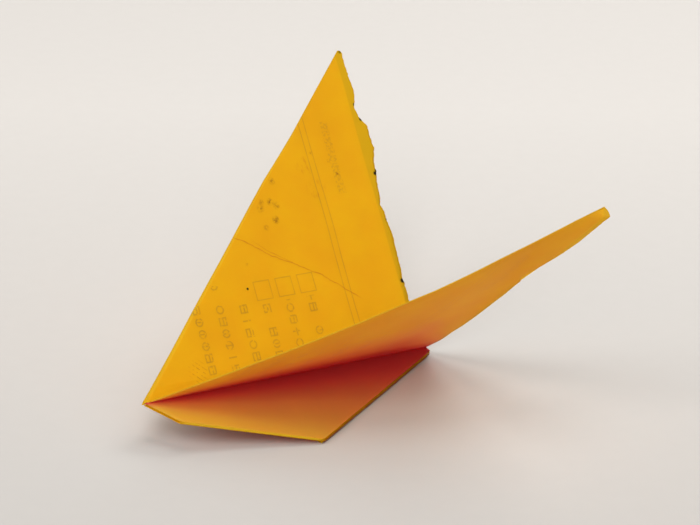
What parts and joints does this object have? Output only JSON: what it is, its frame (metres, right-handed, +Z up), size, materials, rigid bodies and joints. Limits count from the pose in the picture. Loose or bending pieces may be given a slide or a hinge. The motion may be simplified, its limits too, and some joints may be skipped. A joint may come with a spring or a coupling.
{
  "type": "paper airplane",
  "caption": "Folded paper airplane of thin translucent form paper, with two wings, a sideways keel and a turned-under tail flap as its foot.",
  "frame": {"origin": "on the table, on the underside of the tail flap, 10 mm in from the middle of the tail fold", "axes": "+Z up from the table; +X across the airplane, from the nose side to the right wing's tip; +Y from the keel towards the left wing"},
  "size_m": [0.0888, 0.0809, 0.0572],
  "materials": {
    "form_paper": "matte thin translucent printed paper",
    "creased_paper": "matte rolled paper fold"
  },
  "bodies": {
    "tail_flap": {"tail_flap_ply_1": "form_paper", "tail_flap_ply_2": "form_paper", "tail_flap_ply_3": "form_paper", "tail_flap_ply_4": "form_paper", "tail_fold": "creased_paper"},
    "keel_left": {"keel_left_lower_ply": "form_paper", "keel_left_upper_ply": "form_paper", "keel_fold": "creased_paper", "nose_tuck": "form_paper", "root_fold_left": "creased_paper"},
    "keel_right": {"keel_right_lower_ply": "form_paper", "keel_right_upper_ply": "form_paper", "root_fold_right": "creased_paper"},
    "wing_left": {"wing_left_outer_ply": "form_paper", "wing_left_inner_ply": "form_paper", "leading_fold_left": "creased_paper"},
    "wing_right": {"wing_right_outer_ply": "form_paper", "wing_right_inner_ply": "form_paper", "leading_fold_right": "creased_paper"}
  },
  "joints": [
    {"name": "tail_fold_hinge", "type": "hinge", "parent": "tail_flap", "child": "keel_left", "pos_m": [-0.0015, -0.02589, 0.00053], "axis": [0.4384, 0.8988, 0], "range_deg": [-8, 30]},
    {"name": "keel_fold_hinge", "type": "hinge", "parent": "keel_left", "child": "keel_right", "pos_m": [-0.0291, -0.02969, 0.0062], "axis": [0.974, 0.1322, -0.1842], "range_deg": [0, 12]},
    {"name": "root_fold_left_hinge", "type": "hinge", "parent": "keel_left", "child": "wing_left", "pos_m": [-0.03593, -0.02507, 0.00781], "axis": [0.7777, 0.6213, -0.0961], "range_deg": [-50, 28]},
    {"name": "root_fold_right_hinge", "type": "hinge", "parent": "keel_right", "child": "wing_right", "pos_m": [-0.03584, -0.02511, 0.00824], "axis": [0.7777, 0.6213, -0.0961], "range_deg": [-20, 34]}
  ]
}
